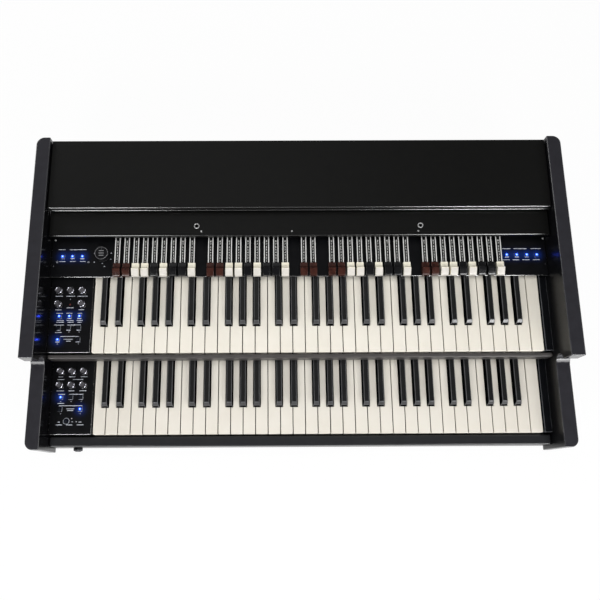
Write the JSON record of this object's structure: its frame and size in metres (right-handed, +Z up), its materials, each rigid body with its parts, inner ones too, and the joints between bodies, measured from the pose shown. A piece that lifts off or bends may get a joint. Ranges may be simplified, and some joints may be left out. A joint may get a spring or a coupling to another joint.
{
  "type": "dual-manual drawbar organ",
  "caption": "Tabletop organ with two stepped manuals of waterfall keys, rows of sliding drawbars, knobs and lit push buttons between black side cheeks.",
  "frame": {"origin": "centre of the case on the surface that its feet stand on", "axes": "+X to the player's right, +Y away from the player, +Z up"},
  "size_m": [1, 0.581, 0.1915],
  "materials": {
    "cheek": "satin black paint",
    "board": "smooth black paint",
    "panel": "black anodised, satin",
    "block": "black",
    "socket": "turned metal",
    "rear_plate": "black anodised",
    "circuit": "green circuit board",
    "supply": "folded sheet",
    "frame": "dark grey moulding",
    "foot": "black",
    "knob": "black with a white pointer line",
    "panel_button": "translucent, lit blue from inside",
    "bank_button": "smoked translucent, lit blue from inside",
    "drawbar": "brown, white and black caps on black stems",
    "natural": "ivory",
    "sharp": "black"
  },
  "bodies": {
    "case": {"left_cheek": "cheek", "right_cheek": "cheek", "base_panel": "board", "rear_panel": "board", "top_lid": "board", "music_shelf": "board", "left_stand_socket": "socket", "right_stand_socket": "socket", "upper_front_rail": "board", "lower_front_rail": "board", "headphone_jack": "socket", "rear_socket_plate": "rear_plate", "mains_inlet": "block", "drawbar_panel": "panel", "drawbar_slide_board": "circuit", "upper_control_panel": "panel", "lower_control_panel": "panel", "upper_end_block": "block", "lower_end_block": "block", "upper_key_frame": "frame", "lower_key_frame": "frame", "main_board": "circuit", "power_supply": "supply", "front_left_foot": "foot", "front_right_foot": "foot", "back_left_foot": "foot", "back_right_foot": "foot"},
    "upper_naturals_low": {"upper_naturals_low": "natural"},
    "upper_sharps_low": {"upper_sharps_low": "sharp"},
    "upper_naturals_middle": {"upper_naturals_middle": "natural"},
    "upper_sharps_middle": {"upper_sharps_middle": "sharp"},
    "upper_naturals_high": {"upper_naturals_high": "natural"},
    "upper_sharps_high": {"upper_sharps_high": "sharp"},
    "lower_naturals_low": {"lower_naturals_low": "natural"},
    "lower_sharps_low": {"lower_sharps_low": "sharp"},
    "lower_naturals_middle": {"lower_naturals_middle": "natural"},
    "lower_sharps_middle": {"lower_sharps_middle": "sharp"},
    "lower_naturals_high": {"lower_naturals_high": "natural"},
    "lower_sharps_high": {"lower_sharps_high": "sharp"},
    "upper_drawbars_left": {"upper_drawbars_left": "drawbar"},
    "upper_drawbars_right": {"upper_drawbars_right": "drawbar"},
    "pedal_drawbars": {"pedal_drawbars": "drawbar"},
    "lower_drawbars_left": {"lower_drawbars_left": "drawbar"},
    "lower_drawbars_right": {"lower_drawbars_right": "drawbar"},
    "upper_knob_1": {"upper_knob_1": "knob"},
    "upper_knob_2": {"upper_knob_2": "knob"},
    "upper_knob_3": {"upper_knob_3": "knob"},
    "upper_knob_4": {"upper_knob_4": "knob"},
    "upper_knob_5": {"upper_knob_5": "knob"},
    "lower_knob_1": {"lower_knob_1": "knob"},
    "lower_knob_2": {"lower_knob_2": "knob"},
    "lower_knob_3": {"lower_knob_3": "knob"},
    "lower_knob_4": {"lower_knob_4": "knob"},
    "lower_knob_5": {"lower_knob_5": "knob"},
    "lower_knob_6": {"lower_knob_6": "knob"},
    "vibrato_selector": {"vibrato_selector": "knob"},
    "upper_panel_buttons": {"upper_panel_buttons": "panel_button"},
    "lower_panel_buttons": {"lower_panel_buttons": "panel_button"},
    "left_bank_buttons": {"left_bank_buttons": "bank_button"},
    "right_bank_buttons": {"right_bank_buttons": "bank_button"}
  },
  "joints": [
    {"name": "upper_naturals_low_hinge", "type": "hinge", "parent": "case", "child": "upper_naturals_low", "pos_m": [0, 0.0835, 0.1136], "axis": [1, 0, 0], "range_deg": [0, 2.8], "stiffness_Nm_per_rad": 14, "springref_deg": -6.3},
    {"name": "upper_sharps_low_hinge", "type": "hinge", "parent": "case", "child": "upper_sharps_low", "pos_m": [0, 0.0835, 0.1204], "axis": [1, 0, 0], "range_deg": [0, 2.8], "stiffness_Nm_per_rad": 10, "springref_deg": -6.3},
    {"name": "upper_naturals_middle_hinge", "type": "hinge", "parent": "case", "child": "upper_naturals_middle", "pos_m": [0, 0.0835, 0.1136], "axis": [1, 0, 0], "range_deg": [0, 2.8], "stiffness_Nm_per_rad": 14, "springref_deg": -6.3},
    {"name": "upper_sharps_middle_hinge", "type": "hinge", "parent": "case", "child": "upper_sharps_middle", "pos_m": [0, 0.0835, 0.1204], "axis": [1, 0, 0], "range_deg": [0, 2.8], "stiffness_Nm_per_rad": 10, "springref_deg": -6.3},
    {"name": "upper_naturals_high_hinge", "type": "hinge", "parent": "case", "child": "upper_naturals_high", "pos_m": [0, 0.0835, 0.1136], "axis": [1, 0, 0], "range_deg": [0, 2.8], "stiffness_Nm_per_rad": 8, "springref_deg": -6.3},
    {"name": "upper_sharps_high_hinge", "type": "hinge", "parent": "case", "child": "upper_sharps_high", "pos_m": [0, 0.0835, 0.1204], "axis": [1, 0, 0], "range_deg": [0, 2.8], "stiffness_Nm_per_rad": 5, "springref_deg": -6.3},
    {"name": "lower_naturals_low_hinge", "type": "hinge", "parent": "case", "child": "lower_naturals_low", "pos_m": [0, -0.0635, 0.0673], "axis": [1, 0, 0], "range_deg": [0, 2.8], "stiffness_Nm_per_rad": 14, "springref_deg": -6.3},
    {"name": "lower_sharps_low_hinge", "type": "hinge", "parent": "case", "child": "lower_sharps_low", "pos_m": [0, -0.0635, 0.0741], "axis": [1, 0, 0], "range_deg": [0, 2.8], "stiffness_Nm_per_rad": 10, "springref_deg": -6.3},
    {"name": "lower_naturals_middle_hinge", "type": "hinge", "parent": "case", "child": "lower_naturals_middle", "pos_m": [0, -0.0635, 0.0673], "axis": [1, 0, 0], "range_deg": [0, 2.8], "stiffness_Nm_per_rad": 14, "springref_deg": -6.3},
    {"name": "lower_sharps_middle_hinge", "type": "hinge", "parent": "case", "child": "lower_sharps_middle", "pos_m": [0, -0.0635, 0.0741], "axis": [1, 0, 0], "range_deg": [0, 2.8], "stiffness_Nm_per_rad": 10, "springref_deg": -6.3},
    {"name": "lower_naturals_high_hinge", "type": "hinge", "parent": "case", "child": "lower_naturals_high", "pos_m": [0, -0.0635, 0.0673], "axis": [1, 0, 0], "range_deg": [0, 2.8], "stiffness_Nm_per_rad": 8, "springref_deg": -6.3},
    {"name": "lower_sharps_high_hinge", "type": "hinge", "parent": "case", "child": "lower_sharps_high", "pos_m": [0, -0.0635, 0.0741], "axis": [1, 0, 0], "range_deg": [0, 2.8], "stiffness_Nm_per_rad": 5, "springref_deg": -6.3},
    {"name": "upper_drawbars_left_slide", "type": "slide", "parent": "case", "child": "upper_drawbars_left", "axis": [0, 1, 0], "range_m": [0, 0.0445]},
    {"name": "upper_drawbars_right_slide", "type": "slide", "parent": "case", "child": "upper_drawbars_right", "axis": [0, 1, 0], "range_m": [0, 0.0445]},
    {"name": "pedal_drawbars_slide", "type": "slide", "parent": "case", "child": "pedal_drawbars", "axis": [0, 1, 0], "range_m": [0, 0.0445]},
    {"name": "lower_drawbars_left_slide", "type": "slide", "parent": "case", "child": "lower_drawbars_left", "axis": [0, 1, 0], "range_m": [0, 0.0445]},
    {"name": "lower_drawbars_right_slide", "type": "slide", "parent": "case", "child": "lower_drawbars_right", "axis": [0, 1, 0], "range_m": [0, 0.0445]},
    {"name": "upper_knob_1_turn", "type": "hinge", "parent": "case", "child": "upper_knob_1", "pos_m": [-0.45654, 0.0054, 0.1173], "axis": [0, 0, 1], "range_deg": [-140, 140]},
    {"name": "upper_knob_2_turn", "type": "hinge", "parent": "case", "child": "upper_knob_2", "pos_m": [-0.43444, 0.0054, 0.1173], "axis": [0, 0, 1], "range_deg": [-140, 140]},
    {"name": "upper_knob_3_turn", "type": "hinge", "parent": "case", "child": "upper_knob_3", "pos_m": [-0.41234, 0.0054, 0.1173], "axis": [0, 0, 1], "range_deg": [-140, 140]},
    {"name": "upper_knob_4_turn", "type": "hinge", "parent": "case", "child": "upper_knob_4", "pos_m": [-0.45654, -0.0208, 0.1173], "axis": [0, 0, 1], "range_deg": [-140, 140]},
    {"name": "upper_knob_5_turn", "type": "hinge", "parent": "case", "child": "upper_knob_5", "pos_m": [-0.41234, -0.0208, 0.1173], "axis": [0, 0, 1], "range_deg": [-140, 140]},
    {"name": "lower_knob_1_turn", "type": "hinge", "parent": "case", "child": "lower_knob_1", "pos_m": [-0.45654, -0.1416, 0.071], "axis": [0, 0, 1], "range_deg": [-140, 140]},
    {"name": "lower_knob_2_turn", "type": "hinge", "parent": "case", "child": "lower_knob_2", "pos_m": [-0.43444, -0.1416, 0.071], "axis": [0, 0, 1], "range_deg": [-140, 140]},
    {"name": "lower_knob_3_turn", "type": "hinge", "parent": "case", "child": "lower_knob_3", "pos_m": [-0.41234, -0.1416, 0.071], "axis": [0, 0, 1], "range_deg": [-140, 140]},
    {"name": "lower_knob_4_turn", "type": "hinge", "parent": "case", "child": "lower_knob_4", "pos_m": [-0.45654, -0.1678, 0.071], "axis": [0, 0, 1], "range_deg": [-140, 140]},
    {"name": "lower_knob_5_turn", "type": "hinge", "parent": "case", "child": "lower_knob_5", "pos_m": [-0.43444, -0.1678, 0.071], "axis": [0, 0, 1], "range_deg": [-140, 140]},
    {"name": "lower_knob_6_turn", "type": "hinge", "parent": "case", "child": "lower_knob_6", "pos_m": [-0.41234, -0.1678, 0.071], "axis": [0, 0, 1], "range_deg": [-140, 140]},
    {"name": "vibrato_selector_turn", "type": "hinge", "parent": "case", "child": "vibrato_selector", "pos_m": [-0.37584, 0.073, 0.1318], "axis": [0, 0, 1], "range_deg": [-150, 150]},
    {"name": "upper_panel_buttons_press", "type": "slide", "parent": "case", "child": "upper_panel_buttons", "axis": [0, 0, -1], "range_m": [0, 0.0008], "stiffness_N_per_m": 300, "springref_m": -0.002},
    {"name": "lower_panel_buttons_press", "type": "slide", "parent": "case", "child": "lower_panel_buttons", "axis": [0, 0, -1], "range_m": [0, 0.0008], "stiffness_N_per_m": 300, "springref_m": -0.002},
    {"name": "left_bank_buttons_press", "type": "slide", "parent": "case", "child": "left_bank_buttons", "axis": [0, 0, -1], "range_m": [0, 0.0008], "stiffness_N_per_m": 300, "springref_m": -0.002},
    {"name": "right_bank_buttons_press", "type": "slide", "parent": "case", "child": "right_bank_buttons", "axis": [0, 0, -1], "range_m": [0, 0.0008], "stiffness_N_per_m": 300, "springref_m": -0.002}
  ]
}
